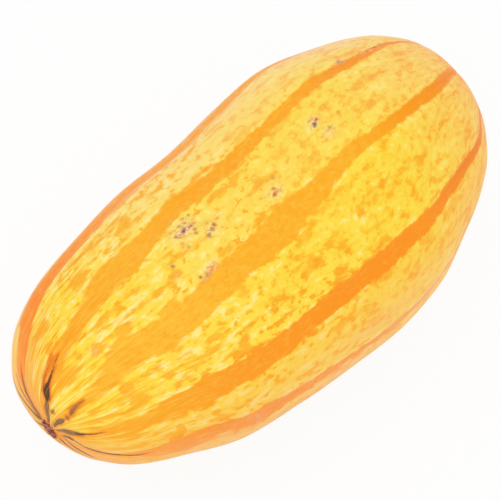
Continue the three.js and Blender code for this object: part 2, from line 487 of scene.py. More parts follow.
def growRings(name, columns, rings, startAlong, endAlong):
    # a closed round body along +X, extruded ring by ring; a ring is a place along and a radius
    bpy.ops.object.select_all(action="DESELECT")
    along, radius = rings[0]
    bpy.ops.mesh.primitive_circle_add(
        vertices=columns, radius=radius * mm, location=(along * mm, 0, 0), rotation=(0, math.pi / 2, 0))
    piece = bpy.context.object
    piece.name = piece.data.name = name
    bpy.ops.object.transform_apply(location=True, rotation=True, scale=True)
    bpy.ops.object.mode_set(mode="EDIT")
    bpy.ops.mesh.select_all(action="SELECT")
    for nextAlong, nextRadius in rings[1:]:
        step, grow = (nextAlong - along) * mm, nextRadius / radius
        bpy.ops.mesh.extrude_region_move(TRANSFORM_OT_translate={"value": (step, 0, 0)})
        bpy.ops.transform.resize(value=(1, grow, grow), center_override=(nextAlong * mm, 0, 0))
        along, radius = nextAlong, nextRadius
    bpy.ops.mesh.extrude_region_move(TRANSFORM_OT_translate={"value": ((endAlong - along) * mm, 0, 0)})
    bpy.ops.mesh.merge(type="CENTER")
    firstAlong, firstRadius = rings[0][0] * mm, rings[0][1] * mm
    pick(piece, lambda co: abs(co.x - firstAlong) < 1e-7 and math.hypot(co.y, co.z) < firstRadius * 1.01)
    bpy.ops.mesh.extrude_region_move(TRANSFORM_OT_translate={"value": (startAlong * mm - firstAlong, 0, 0)})
    bpy.ops.mesh.merge(type="CENTER")
    bpy.ops.mesh.select_all(action="SELECT")
    bpy.ops.mesh.normals_make_consistent(inside=False)
    bpy.ops.object.mode_set(mode="OBJECT")
    return piece


def subdivide(piece, levels):
    openPiece(piece)
    finer = piece.modifiers.new("finer", "SUBSURF")
    finer.levels = finer.render_levels = levels
    bpy.ops.object.modifier_apply(modifier=finer.name)


def swell(piece, size, height):
    # soft lumps over the whole surface
    openPiece(piece)
    clouds = bpy.data.textures.new(f"{piece.name}Lumps", "CLOUDS")
    clouds.noise_scale = size
    clouds.noise_depth = 1
    lumps = piece.modifiers.new("lumps", "DISPLACE")
    lumps.texture = clouds
    lumps.strength = height * mm
    lumps.mid_level = 0.5
    bpy.ops.object.modifier_apply(modifier=lumps.name)


def readPoints(piece, kind="co"):
    flat = np.empty(len(piece.data.vertices) * 3, np.float32)
    piece.data.vertices.foreach_get(kind, flat)
    return flat.reshape(-1, 3).astype(float)


def writePoints(piece, points):
    piece.data.vertices.foreach_set("co", np.ascontiguousarray(points, np.float32).ravel())
    piece.data.update()


def storeOnPoints(piece, name, values):
    values = np.ascontiguousarray(values, np.float32)
    kind, field = ("FLOAT", "value") if values.ndim == 1 else ("FLOAT_VECTOR", "vector")
    layer = piece.data.attributes.new(name, kind, "POINT")
    layer.data.foreach_set(field, values.ravel())


def ribsAt(along, angle):
    # where each point lies between its two furrows: the lower furrow's number, the share
    # across the rib, and the rib's width in radians
    lines = np.radians([smoothAt(furrowAlong, furrow["angle"], along) for furrow in furrows])
    turn = lines[0] + np.mod(angle - lines[0], 2 * np.pi)
    number = np.clip((lines <= turn).sum(0) - 1, 0, len(furrows) - 1)
    closed = np.vstack([lines, lines[:1] + 2 * np.pi])
    every = np.arange(len(along))
    start, end = closed[number, every], closed[number + 1, every]
    return number, (turn - start) / (end - start), end - start


def furrowCut(radius, ribWidth, share):
    crease = np.exp(-((np.minimum(share, 1 - share) * ribWidth / fruit["furrowHalfWidth"]) ** 2))
    roundness = 1 - np.sin(np.pi * share)
    depth = fruit["furrowDepth"] * (radius / max(stationRadius)) ** fruit["furrowFade"]
    return depth * (fruit["creaseShare"] * crease + (1 - fruit["creaseShare"]) * roundness)


def cylinderMap(piece, along, angle, name):
    # a plain map round the body: it is cut along the line where the angle starts again
    loopVertex = np.empty(len(piece.data.loops), np.int32)
    piece.data.loops.foreach_get("vertex_index", loopVertex)
    loopStart = np.array([face.loop_start for face in piece.data.polygons])
    turns = (angle / (2 * np.pi) % 1)[loopVertex]
    sizes = np.diff(np.append(loopStart, len(loopVertex)))
    faceOf = np.repeat(np.arange(len(loopStart)), sizes)
    highest = np.maximum.reduceat(turns, loopStart)[faceOf]
    turns = np.where((highest > 0.75) & (turns < 0.25), turns + 1, turns)
    # a pole has no angle of its own, so it takes the middle of its face's others
    atPole = (np.hypot(*readPoints(piece)[:, 1:].T) < 1e-6)[loopVertex]
    kept = np.where(atPole, 0, turns)
    count = np.add.reduceat((~atPole).astype(float), loopStart)[faceOf]
    turns = np.where(atPole, np.add.reduceat(kept, loopStart)[faceOf] / count, turns)
    mapWidth = 0.99  # the last faces reach past a full turn, so a turn is a little narrower than the map
    layer = piece.data.uv_layers.new(name=name)
    corners = np.stack([turns * mapWidth, along[loopVertex]], 1)
    layer.data.foreach_set("uv", corners.astype(np.float32).ravel())


print("growing the fruit")
tipRings = [(smoothAt(np.square(stationRadius[:2]), stationAlong[:2], r * r), r) for r in fruit["tipRings"]]
turnFrom = math.acos(1 - 2 * fruit["bodyFrom"] / fruit["length"])
turnTo = math.acos(1 - 2 * fruit["rimAlong"] / fruit["length"])
bodyAlong = fruit["length"] / 2 * (1 - np.cos(np.linspace(turnFrom, turnTo, fruit["bodyRings"])))
bodyRings = list(zip(bodyAlong, bodyRadius(bodyAlong)))
fruitRings = tipRings + bodyRings + fruit["dimple"]
rind = growRings("rind", fruit["columns"], fruitRings, 0, fruit["dimple"][-1][0])
subdivide(rind, 3)
print("rind", len(rind.data.vertices), "points")

# subdividing draws the rings in a little, so the body goes back onto its own profile
straight = readPoints(rind) / mm
along = straight[:, 0]
radius = np.hypot(straight[:, 1], straight[:, 2])
angle = np.arctan2(-straight[:, 1], straight[:, 2])
profileAlong = fruit["length"] / 2 * (1 - np.cos(np.linspace(0, math.pi, fruit["profileSteps"])))
profileRadius = bodyRadius(profileAlong)
walked = np.append(0, np.cumsum(np.hypot(np.diff(profileAlong), np.diff(profileRadius))))
rows, rowOf = np.unique(np.round(np.stack([along, radius], 1), 3), axis=0, return_inverse=True)
offProfile = (rows[:, :1] - profileAlong) ** 2 + (rows[:, 1:] - profileRadius) ** 2
closest = offProfile.argmin(1)[rowOf.ravel()]
snap = np.clip((fruit["rimAlong"] - along) / fruit["snapBlend"], 0, 1)
along = along + (profileAlong[closest] - along) * snap
newRadius = radius + (profileRadius[closest] - radius) * snap
straight = np.stack([along, -newRadius * np.sin(angle), newRadius * np.cos(angle)], 1)
radius = newRadius
skin = walked[closest]
writePoints(rind, straight * mm)
normals = readPoints(rind, "normal")

# the furrows and streaks meet at the scar, which sits a little off the axis
drawn = np.exp(-((radius / fruit["scarReach"]) ** 2)) * (along < fruit["tipEnd"])
fromScarAside = -straight[:, 1] - fruit["scarAside"] * drawn
fromScarUp = straight[:, 2] - fruit["scarUp"] * drawn
skin = skin + np.hypot(fromScarAside, fromScarUp) - radius
angle = np.arctan2(fromScarAside, fromScarUp)
scarRadius = np.hypot(fromScarAside, fromScarUp)
ovalAside, ovalDown, ovalStretch = fruit["ovalSet"]
scarOval = np.hypot(fromScarAside + ovalAside, (fromScarUp + ovalDown) / ovalStretch)
scarOval = np.where(along > fruit["tipEnd"], fruit["scarless"], scarOval)
number, share, ribTurn = ribsAt(along, angle)
ribWidth = ribTurn * radius
dimpleRadius, dimpleSoft = fruit["dimpleEdge"]
inDimple = np.clip((dimpleRadius - radius) / dimpleSoft, 0, 1) * (along > fruit["dimpleFrom"])

# the pattern's own coordinates stay straight, whatever the body does
every = np.arange(len(along))
phase = 2 * np.pi * share
nearest = np.where(share < 0.5, number, (number + 1) % len(furrows))
reach = {}
for side in ("up", "down"):
    degrees = np.array([smoothAt(reachAlong, furrow[side], along) for furrow in furrows])[nearest, every]
    reach[side] = np.radians(degrees) * radius
redness = np.array([smoothAt(furrowAlong, furrow["red"], along) for furrow in furrows])[nearest, every]
warmth = np.array(bandWarmth)[number] * np.sin(math.pi * share) ** 0.5


def apart(markAngle):
    # how far round the body each point is from an angle, in millimetres
    return (np.mod(angle - np.radians(markAngle) + np.pi, 2 * np.pi) - np.pi) * scarRadius


def islandsAt(islands):
    # millimetres inside the nearest island, below zero outside it
    farOutside = -20.0
    inside = np.full(len(along), farOutside)
    for islandAlong, islandAngle, halfLength, halfWidth in islands:
        stretched = np.hypot((along - islandAlong) / halfLength, apart(islandAngle) / halfWidth)
        inside = np.maximum(inside, (1 - stretched) * halfWidth)
    return inside


def patchesAt(places):
    level = np.zeros(len(along))
    for placeAlong, placeAngle, halfLength, halfWidth, strength in places:
        near = np.exp(-((along - placeAlong) / halfLength) ** 2 - (apart(placeAngle) / halfWidth) ** 2)
        level = np.maximum(level, strength * near)
    return level


def linesAt(lines):
    # millimetres inside the nearest dark line and inside the rust round it, and the line's shade
    farOutside = -9.0
    dark, rust = np.full(len(along), farOutside), np.full(len(along), farOutside)
    shade = np.zeros(len(along))
    for line in lines:
        places, angles, widths = np.array(line["path"], float).T
        beyond = np.maximum(np.maximum(places[0] - skin, skin - places[-1]), 0)
        inside = np.interp(skin, places, widths) - np.abs(apart(np.interp(skin, places, angles))) - beyond
        shade = np.where(inside > dark, line["shade"], shade)
        dark, rust = np.maximum(dark, inside), np.maximum(rust, inside + line["rust"])
    return dark, rust, shade


# the grain's own length: drawn out at the blossom end and plain past the first quarter
drawExtra, drawReach = fruit["grainDraw"]
drawnOut = 1 / (1 + drawExtra * np.exp(-((walked / drawReach) ** 2)))
grainWalked = np.append(0, np.cumsum(np.diff(walked) * (drawnOut[1:] + drawnOut[:-1]) / 2))
grainAlong = np.interp(skin, walked, grainWalked)
tipDark, tipRust, tipShade = linesAt(tipLines)
storeOnPoints(rind, "growth", straight * mm)
grainRound = fruit["grainRadius"] * np.array([np.sin(angle), np.cos(angle)])
storeOnPoints(rind, "skin", np.stack([grainAlong, *grainRound], 1) * mm)
storeOnPoints(rind, "rib", np.stack([np.cos(phase), np.sin(phase), ribWidth], 1))
storeOnPoints(rind, "stripe", np.stack([reach["up"], reach["down"], redness], 1))
storeOnPoints(rind, "tipLine", np.stack([tipDark, tipRust, skin], 1))
islandLevels = [islandsAt(orangeIslands), islandsAt(yellowIslands), patchesAt(patches)]
storeOnPoints(rind, "islands", np.stack(islandLevels, 1))
storeOnPoints(rind, "tipShade", tipShade)
# the level of the painted sheen, a pale peach at the sides
storeOnPoints(rind, "paintedSheen", patchesAt(paintedSheenPatches))
storeOnPoints(rind, "blush", np.stack([warmth, patchesAt(blushes), scarOval], 1))
cylinderMap(rind, along / fruit["length"], angle, "OFBake")

# furrows, the puckered blossom end and the scar
cut = furrowCut(radius, ribWidth, share) * (1 - inDimple)
pleatFrom, pleatWidth = fruit["pleatRing"]
pleats = fruit["pleatDepth"] * np.cos(phase) * np.exp(-((scarRadius - pleatFrom) / pleatWidth) ** 2)
pucker = fruit["puckerDepth"] * np.exp(-((scarRadius / fruit["puckerReach"]) ** 2)) + pleats
button = fruit["buttonHeight"] * np.exp(-((scarRadius / fruit["buttonRadius"]) ** 4))
cut = cut + np.where(along < fruit["puckerEnd"], pucker - button, 0)
shaped = straight - normals * cut[:, None]
writePoints(rind, shaped * mm)
for size, height in fruit["lumps"]:
    swell(rind, size, height)


def layDown(points, alongHere):
    # bows the straight body sideways and tips it onto its resting side
    bow = smoothAt(stationAlong, stationBow, alongHere)
    lean, pitch = math.radians(fruit["bowLean"]), math.radians(fruit["restPitch"])
    x = points[:, 0] - fruit["length"] / 2
    y = points[:, 1] - bow * math.cos(lean)
    z = points[:, 2] - bow * math.sin(lean)
    lain = [x * math.cos(pitch) - z * math.sin(pitch), y, x * math.sin(pitch) + z * math.cos(pitch)]
    return np.stack(lain, 1) * mm


lying = layDown(readPoints(rind) / mm, along)
low, high = lying.min(0), lying.max(0)
cadLow, cadHigh = np.array(fruitLow), np.array(fruitHigh)
fit = (cadHigh - cadLow) / (high - low)
fit[2] = fit[1]  # the ground spot cuts the bottom off, so the height follows the width
fit *= 0.9999  # a hair inside the box
hair = 0.00001
setAt = (cadLow + cadHigh) / 2 - fit * (low + high) / 2
setAt[2] = cadHigh[2] - hair - fit[2] * high[2]
lying = lying * fit + setAt
soft = fruit["flatSoftness"] * mm
lying[:, 2] = soft * np.logaddexp(0, lying[:, 2] / soft)  # the ground spot is pressed level
writePoints(rind, lying)
openPiece(rind)
bpy.ops.object.shade_smooth()
print("rind set in place, scaled by", fit.round(4))


# the stalk's stub: a ring is a place along and a radius
stalk = {
    "base": 235.9,
    "rings": [
        (236.3, 9.6),
        (237, 9.1),
        (237.6, 8.4),
        (238.4, 7.9),
        (239.4, 7.6),
        (240.1, 7.45),
        (240.25, 6.9),
        (240.15, 5),
        (239.9, 2.5),
    ],
    "pith": 239.75,
    "columns": 30,
    "angles": 5,
    "grooves": 0.9,
    "grooveRadius": 7.5,
    "ridges": ((17, 0.018, 1.3), (31, 0.012, 0)),  # how many round the stub, height and turn
    "lumps": ((0.003, 0.5), (0.0012, 0.2)),  # size in metres and height in millimetres
}

stub = growRings("stalk", stalk["columns"], stalk["rings"], stalk["base"], stalk["pith"])
subdivide(stub, 3)
stubStraight = readPoints(stub) / mm
stubAngle = np.arctan2(-stubStraight[:, 1], stubStraight[:, 2])
storeOnPoints(stub, "growth", stubStraight * mm)
cylinderMap(stub, stubStraight[:, 0] / fruit["length"], stubAngle, "OFBake")
grooveShare = stalk["grooves"] / stalk["grooveRadius"]
lobes = 1 - grooveShare * (0.5 - 0.5 * np.cos(stalk["angles"] * stubAngle))
ridges = 1 + sum(high * np.cos(count * stubAngle + start) for count, high, start in stalk["ridges"])
stubStraight[:, 1:] *= (lobes * ridges)[:, None]
writePoints(stub, stubStraight * mm)
for size, height in stalk["lumps"]:
    swell(stub, size, height)
stubStraight = readPoints(stub) / mm
stubLying = layDown(stubStraight, stubStraight[:, 0])
stubLying = stubLying * fit + setAt
writePoints(stub, stubLying)
openPiece(stub)
bpy.ops.object.shade_smooth()
print("stalk", len(stub.data.vertices), "points, high", stubLying.max(0).round(5))


def tint(red, green, blue):
    # everyday 0-255 values as the linear colour that nodes take
    def linear(value):
        value /= 255
        return value / 12.92 if value <= 0.04045 else ((value + 0.055) / 1.055) ** 2.4
    return (linear(red), linear(green), linear(blue), 1)


class Shading:
    # short names for adding and joining nodes in one tree
    def __init__(self, tree):
        self.tree = tree

    def add(self, kind, **settings):
        made = self.tree.nodes.new("ShaderNode" + kind)
        for name, value in settings.items():
            setattr(made, name, value)
        return made

    def feed(self, socket, value):
        if isinstance(value, bpy.types.NodeSocket):
            self.tree.links.new(value, socket)
        elif value is not None:
            socket.default_value = value

    def math(self, operation, a, b=None, c=None, clamp=False):
        made = self.add("Math", operation=operation, use_clamp=clamp)
        for socket, value in zip(made.inputs, (a, b, c)):
            self.feed(socket, value)
        return made.outputs[0]

    def vector(self, operation, a, b):
        made = self.add("VectorMath", operation=operation)
        self.feed(made.inputs[0], a)
        self.feed(made.inputs[1], b)
        return made.outputs["Value" if operation == "DISTANCE" else "Vector"]

    def between(self, value, low, high, outLow=0.0, outHigh=1.0, smooth=True):
        made = self.add("MapRange", interpolation_type="SMOOTHSTEP" if smooth else "LINEAR")
        for socket, given in zip(made.inputs, (value, low, high, outLow, outHigh)):
            self.feed(socket, given)
        return made.outputs[0]

    def mix(self, factor, a, b):
        made = self.add("Mix", data_type="RGBA")
        self.feed(made.inputs[0], factor)
        self.feed(made.inputs[6], a)
        self.feed(made.inputs[7], b)
        return made.outputs[2]

    def blend(self, factor, a, b):
        made = self.add("Mix", data_type="FLOAT")
        for socket, value in zip((made.inputs[0], made.inputs[2], made.inputs[3]), (factor, a, b)):
            self.feed(socket, value)
        return made.outputs[0]

    def noise(self, where, scale, detail=2.0, roughness=0.5, distortion=0.0):
        made = self.add("TexNoise")
        self.feed(made.inputs["Vector"], where)
        self.feed(made.inputs["Scale"], scale)
        self.feed(made.inputs["Detail"], detail)
        self.feed(made.inputs["Roughness"], roughness)
        self.feed(made.inputs["Distortion"], distortion)
        return made.outputs[0]

    def attribute(self, name, kind="Vector"):
        return self.add("Attribute", attribute_name=name).outputs[kind]

    def split(self, vector):
        made = self.add("SeparateXYZ")
        self.feed(made.inputs[0], vector)
        return made.outputs

    def join(self, x, y, z):
        made = self.add("CombineXYZ")
        for socket, value in zip(made.inputs, (x, y, z)):
            self.feed(socket, value)
        return made.outputs[0]


def newGroup(name, inputs, outputs):
    group = bpy.data.node_groups.new(name, "ShaderNodeTree")
    for label, kind, value in inputs:
        made = group.interface.new_socket(label, in_out="INPUT", socket_type="NodeSocket" + kind)
        if value is not None:
            made.default_value = value
    for label, kind in outputs:
        group.interface.new_socket(label, in_out="OUTPUT", socket_type="NodeSocket" + kind)
    shading = Shading(group)
    given, made = group.nodes.new("NodeGroupInput"), group.nodes.new("NodeGroupOutput")
    return group, shading, given.outputs, made.inputs


def useGroup(shading, group, **values):
    made = shading.add("Group")
    made.node_tree = group
    for label, value in values.items():
        shading.feed(made.inputs[label], value)
    return made.outputs


def makeTexture():
    # the noise that draws the pattern: a value round 0 that is negative in the paler places
    group, s, given, made = newGroup(
        "grain",
        [("Where", "Vector", None), ("Size", "Float", 3.0),
         ("Stretch", "Float", 2.0), ("Shift", "Float", 0.0)],
        [("Level", "Float")])
    shrink = s.math("DIVIDE", 1.0, given["Stretch"])
    squeezed = s.vector("MULTIPLY", given["Where"], s.join(shrink, 1.0, 1.0))
    shifted = s.vector("ADD", squeezed, s.join(given["Shift"], given["Shift"], given["Shift"]))
    level = s.noise(shifted, s.math("DIVIDE", 1000.0, given["Size"]), 2.5, 0.5, 0.2)
    s.feed(made["Level"], s.math("MULTIPLY", s.math("SUBTRACT", level, 0.5), 8.0))
    return group


def makeDot():
    # a soft round dot with an uneven edge, its size in millimetres
    group, s, given, made = newGroup(
        "dot",
        [("Where", "Vector", None), ("Centre", "Vector", None), ("Size", "Float", 1.0),
         ("Spread", "Float", 0.0), ("Strength", "Float", 1.0)],
        [("Level", "Float")])
    away = s.math("MULTIPLY", s.vector("DISTANCE", given["Where"], given["Centre"]), 1000.0)
    inside = s.math("SUBTRACT", given["Size"], s.math("ADD", away, given["Spread"]))
    s.feed(made["Level"], s.math("MULTIPLY", s.between(inside, -0.85, 0.9), given["Strength"]))
    return group


grain = makeTexture()
dot = makeDot()

rindLook = {
    "pale": tint(255, 236, 136),
    "lemon": tint(255, 224, 72),
    "yellow": tint(254, 214, 56),
    "gold": tint(253, 196, 40),
    "amber": tint(253, 178, 34),
    "warm": tint(253, 182, 80),
    "cream": tint(255, 221, 158),
    "farPale": tint(254, 220, 104),
    "farBand": tint(253, 205, 84),
    "farAmber": tint(252, 178, 64),
    "stripeTip": tint(254, 188, 44),
    "stripeMiddle": tint(254, 180, 34),
    "stripeFar": tint(253, 157, 4),
    "stripePale": tint(254, 198, 64),
    "stripeDeep": tint(252, 160, 22),
    "threadPale": tint(255, 206, 84),
    "redTip": tint(254, 132, 8),
    "redMiddle": tint(254, 147, 17),
    "redFar": tint(248, 134, 14),
    "furrowLine": tint(236, 124, 44),
    "blush": tint(252, 160, 84),
    # a pale peach painted on as sheen where the skin turns away
    "paintedSheen": tint(254, 206, 162),
    "lineDark": tint(54, 44, 40),
    "lineOlive": tint(132, 114, 72),
    "strand": tint(212, 124, 64),
    "rust": tint(242, 124, 22),
    "scar": tint(146, 80, 56),
    "scarDark": tint(92, 56, 48),
    "scarFlesh": tint(204, 98, 70),
    "scarMauve": tint(188, 126, 126),
    "brownDot": tint(136, 60, 70),
    "redDot": tint(176, 62, 56),
    "slateDot": tint(98, 82, 112),
    "scabHalo": tint(236, 146, 116),
    "scabCream": tint(255, 224, 176),
    "scabSpeck": tint(208, 112, 72),
}


def rindMaterial():
    look = rindLook
    material = bpy.data.materials.new("rindSkin")
    material.use_nodes = True
    material.node_tree.nodes.clear()
    s = Shading(material.node_tree)
    growth = s.attribute("growth")
    skin = s.attribute("skin")
    place = s.split(growth)
    along = s.math("DIVIDE", place[0], fruit["length"] * mm)
    rib = s.split(s.attribute("rib"))
    stripe = s.split(s.attribute("stripe"))
    islands = s.split(s.attribute("islands"))
    tipLine = s.split(s.attribute("tipLine"))
    walkedHere = tipLine[2]
    blush = s.split(s.attribute("blush"))

    # how strongly the blossom end's own streaks show
    tipShare = s.between(along, 0.16, 0.44, 1.0, 0.0)

    # grain at three sizes; near the blossom end it is drawn out into long streaks
    def grainAt(size, stretch, shift):
        return useGroup(s, grain, Where=skin, Size=size, Stretch=stretch, Shift=shift)[0]

    streaks = grainAt(2.4, 5.0, 0.11)
    broad = grainAt(5.0, 2.4, 0.37)
    fine = grainAt(2.4, 1.5, 0.71)
    tiny = grainAt(1.1, 1.6, 0.93)

    # signed distance from the furrow in millimetres, and how far inside the stripe that is
    turn = s.math("DIVIDE", s.math("ARCTAN2", rib[1], rib[0]), 2 * math.pi)
    aside = s.math("MULTIPLY", turn, rib[2])
    reachHere = s.blend(s.math("GREATER_THAN", aside, 0.0), stripe[0], stripe[1])
    inside = s.math("SUBTRACT", reachHere, s.math("ABSOLUTE", aside))
    # an island away from any stripe is less red
    redHere = s.math("MULTIPLY", stripe[2], s.between(inside, -3.5, -1.0, 0.3, 1.0))
    inside = s.math("MAXIMUM", inside, islands[0])
    ragged = s.math("MULTIPLY", streaks, s.math("MULTIPLY", tipShare, 0.45))
    ragged = s.math("MULTIPLY_ADD", broad, s.between(along, 0.3, 0.75, 0.45, 0.3), ragged)
    ragged = s.math("MULTIPLY_ADD", fine, s.between(along, 0.2, 0.5, 0.25, 0.4), ragged)
    ragged = s.math("MULTIPLY", ragged, s.between(along, 0.72, 0.9, 1.0, 0.6))
    orange = s.math("ADD", inside, ragged)
    clearing = s.math("ADD", islands[1], s.math("MULTIPLY", ragged, -0.8))
    orange = s.math("MINIMUM", orange, s.math("MULTIPLY", clearing, -1.0))

    # scattered islands: where the grain runs high, sooner beside a stripe
    beside = s.between(orange, -5.0, 0.0, 0.0, 0.4)
    scattered = s.math("SUBTRACT", s.math("MAXIMUM", broad, s.math("SUBTRACT", fine, 0.1)), 1.0)
    scattered = s.math("ADD", s.math("MULTIPLY_ADD", tipShare, -0.35, scattered), beside)
    scattered = s.math("MULTIPLY", scattered, 1.6)
    scattered = s.math("MINIMUM", scattered, s.between(along, 0.35, 0.65, 0.6, -0.2))
    orange = s.math("MAXIMUM", orange, scattered)
    mask = s.between(orange, -0.8, 0.8)

    # the yellow between: pale flecks, lemon, gold and amber clouds
    tone = s.math("ADD", s.math("MULTIPLY", broad, 0.32), s.math("MULTIPLY", fine, 0.34))
    tone = s.math("MULTIPLY_ADD", tiny, 0.14, tone)
    tone = s.math("MULTIPLY_ADD", streaks, s.math("MULTIPLY", tipShare, 0.4), tone)
    tone = s.math("ADD", tone, s.between(orange, -1.8, -0.8, 0.0, -0.14))
    tone = s.math("ADD", tone, s.between(along, 0.3, 0.6, -0.15, 0.07))
    tone = s.math("ADD", tone, s.between(walkedHere, 10.0, 34.0, 0.24, 0.0))
    near = s.mix(s.between(tone, -0.85, -0.45), look["pale"], look["lemon"])
    near = s.mix(s.between(tone, -0.35, 0.1), near, look["yellow"])
    near = s.mix(s.between(tone, 0.1, 0.42), near, look["gold"])
    near = s.mix(s.between(tone, 0.42, 0.85), near, look["amber"])
    far = s.mix(s.between(tone, -0.6, 0.0), look["farPale"], look["farBand"])
    far = s.mix(s.between(tone, 0.2, 0.7), far, look["farAmber"])
    band = s.mix(s.between(along, 0.72, 0.92), near, far)
    band = s.mix(s.math("MAXIMUM", blush[0], 0.0), band, look["warm"])
    cream = s.math("MAXIMUM", s.math("MULTIPLY", blush[0], -1.0), 0.0)
    cream = s.math("MULTIPLY", cream, s.between(along, 0.15, 0.4))
    band = s.mix(cream, band, look["cream"])
    band = s.mix(s.math("MULTIPLY", blush[1], s.between(streaks, -1.2, 0.8, 0.4, 1.0)), band, look["blush"])

    # the stripes deepen from the blossom end to the stem end
    plain = s.mix(s.between(along, 0.25, 0.45), look["stripeTip"], look["stripeMiddle"])
    plain = s.mix(s.between(along, 0.66, 0.84), plain, look["stripeFar"])
    red = s.mix(s.between(along, 0.2, 0.45), look["redTip"], look["redMiddle"])
    red = s.mix(s.between(along, 0.72, 0.9), red, look["redFar"])
    stripeColour = s.mix(redHere, plain, red)

    # thin streaks of gold and of a deeper orange mottle the stripes
    mottle = s.math("ADD", s.math("MULTIPLY", grainAt(0.9, 2.5, 0.29), 0.6), s.math("MULTIPLY", fine, 0.5))
    paleShare = s.math("MULTIPLY_ADD", redHere, -0.55, 1.0)
    paleShare = s.math("MULTIPLY", s.between(along, 0.6, 0.8, 1.0, 0.3), paleShare)
    paleShare = s.math("MULTIPLY", paleShare, s.between(mottle, 0.1, -1.1, 0.0, 0.5))
    stripeColour = s.mix(paleShare, stripeColour, look["stripePale"])
    stripeColour = s.mix(s.between(mottle, 0.0, 1.1, 0.0, 0.4), stripeColour, look["stripeDeep"])
    stripeColour = s.mix(s.math("MULTIPLY", blush[1], 0.55), stripeColour, look["blush"])
    colour = s.mix(mask, band, stripeColour)

    # fine threads, deep and pale, run through bands and stripes near the blossom end
    threads = grainAt(1.0, 8.0, 0.47)
    threadShare = s.between(along, 0.1, 0.36, 1.0, 0.0)
    deepShare = s.math("MULTIPLY", s.between(threads, 0.3, 1.2, 0.0, 0.55), threadShare)
    colour = s.mix(deepShare, colour, look["stripeDeep"])
    lightShare = s.math("MULTIPLY", s.between(threads, -0.4, -1.3, 0.0, 0.4), threadShare)
    colour = s.mix(lightShare, colour, look["threadPale"])

    # painted sheen: a pale peach painted where the skin turns away to the sides
    paintedSheen = s.math("MULTIPLY", s.attribute("paintedSheen", "Fac"), s.between(mottle, -1.2, 1.2, 1.3, 0.7))
    colour = s.mix(paintedSheen, colour, look["paintedSheen"])

    # a thin dark line in the bottom of each furrow towards the stem end
    wander = s.math("MULTIPLY", s.math("SUBTRACT", s.noise(growth, 130.0, 2.0, 0.6), 0.5), 3.0)
    fromLine = s.math("ABSOLUTE", s.math("ADD", aside, wander))
    farLine = s.between(along, 0.68, 0.85, 0.0, 0.45)
    farLine = s.math("MULTIPLY", s.between(fromLine, 0.1, 1.3, 1.0, 0.0), farLine)
    colour = s.mix(s.math("MULTIPLY", farLine, stripe[2]), colour, look["furrowLine"])

    # olive to nearly black lines with rust round them run out from the blossom scar
    wobble = s.math("MULTIPLY", s.math("SUBTRACT", s.noise(growth, 900.0, 2.0, 0.6), 0.5), 1.1)
    strandGrain = grainAt(1.3, 9.0, 0.53)
    rust = s.math("ADD", tipLine[1], s.math("MULTIPLY_ADD", strandGrain, 0.5, wobble))
    colour = s.mix(s.between(rust, -0.6, 0.9, 0.0, 0.75), colour, look["rust"])
    inLine = s.math("ADD", tipLine[0], wobble)
    dark = s.between(inLine, -0.45, 0.55)
    strands = s.math("ADD", strandGrain, s.between(walkedHere, 3.0, 24.0, 0.4, -0.6))
    strands = s.math("MULTIPLY", s.between(strands, 0.3, 1.1), s.between(walkedHere, 12.0, 34.0, 0.65, 0.0))
    colour = s.mix(strands, colour, look["strand"])
    shade = s.math("MULTIPLY_ADD", strandGrain, 0.35, s.attribute("tipShade", "Fac"))
    shade = s.math("MULTIPLY_ADD", wobble, -0.8, shade)
    shade = s.math("ADD", shade, s.between(inLine, 0.0, 0.7, 0.35, 0.0))
    darkTone = s.mix(s.between(shade, 0.0, 0.9), look["lineOlive"], look["lineDark"])
    cover = s.math("MULTIPLY_ADD", s.attribute("tipShade", "Fac"), 1.6, s.math("ADD", tiny, strandGrain))
    cover = s.math("MULTIPLY", dark, s.between(cover, -1.6, 0.6, 0.5, 0.92))
    colour = s.mix(cover, colour, darkTone)

    # the blossom scar
    scarNoise = s.noise(growth, 620.0, 2.0, 0.6)
    scarEdge = s.math("MULTIPLY_ADD", s.math("SUBTRACT", scarNoise, 0.5), 2.6, blush[2])
    scarMask = s.between(scarEdge, 4.7, 5.9, 1.0, 0.0)
    flesh = s.noise(growth, 480.0, 1.5, 0.55)
    scarTone = s.mix(s.between(flesh, 0.54, 0.62), look["scar"], look["scarFlesh"])
    mauve = s.noise(growth, 560.0, 1.0, 0.5, 0.4)
    scarTone = s.mix(s.between(mauve, 0.58, 0.64), scarTone, look["scarMauve"])
    scarTone = s.mix(s.between(flesh, 0.46, 0.38), scarTone, look["scarDark"])
    colour = s.mix(scarMask, colour, scarTone)

    # scabs: dots gathered in faint pink patches
    patch = s.math("MULTIPLY", islands[2], s.between(fine, -1.0, 0.6, 0.35, 1.0))
    patchTone = s.mix(s.between(tiny, -0.5, 0.7), look["scabCream"], look["scabHalo"])
    patchTone = s.mix(s.between(grainAt(0.8, 1.2, 0.83), 0.4, 1.0), patchTone, look["scabSpeck"])
    colour = s.mix(patch, colour, patchTone)
    scabs = 0.0
    spread = s.math("MULTIPLY", s.math("SUBTRACT", s.noise(growth, 1100.0, 1.0, 0.5), 0.5), 1.2)
    for dots, dotColour in ((brownDots, "brownDot"), (redDots, "redDot"), (slateDots, "slateDot")):
        level = 0.0
        for dotAlong, dotAngle, size, strength in dots:
            turned, reachOut = math.radians(dotAngle), float(bodyRadius(dotAlong))
            centre = (dotAlong * mm, -reachOut * math.sin(turned) * mm, reachOut * math.cos(turned) * mm)
            spot = useGroup(
                s, dot, Where=growth, Centre=centre, Size=size, Spread=spread, Strength=strength)[0]
            level = s.math("MAXIMUM", spot, level)
        colour = s.mix(level, colour, look[dotColour])
        scabs = s.math("MAXIMUM", level, scabs)

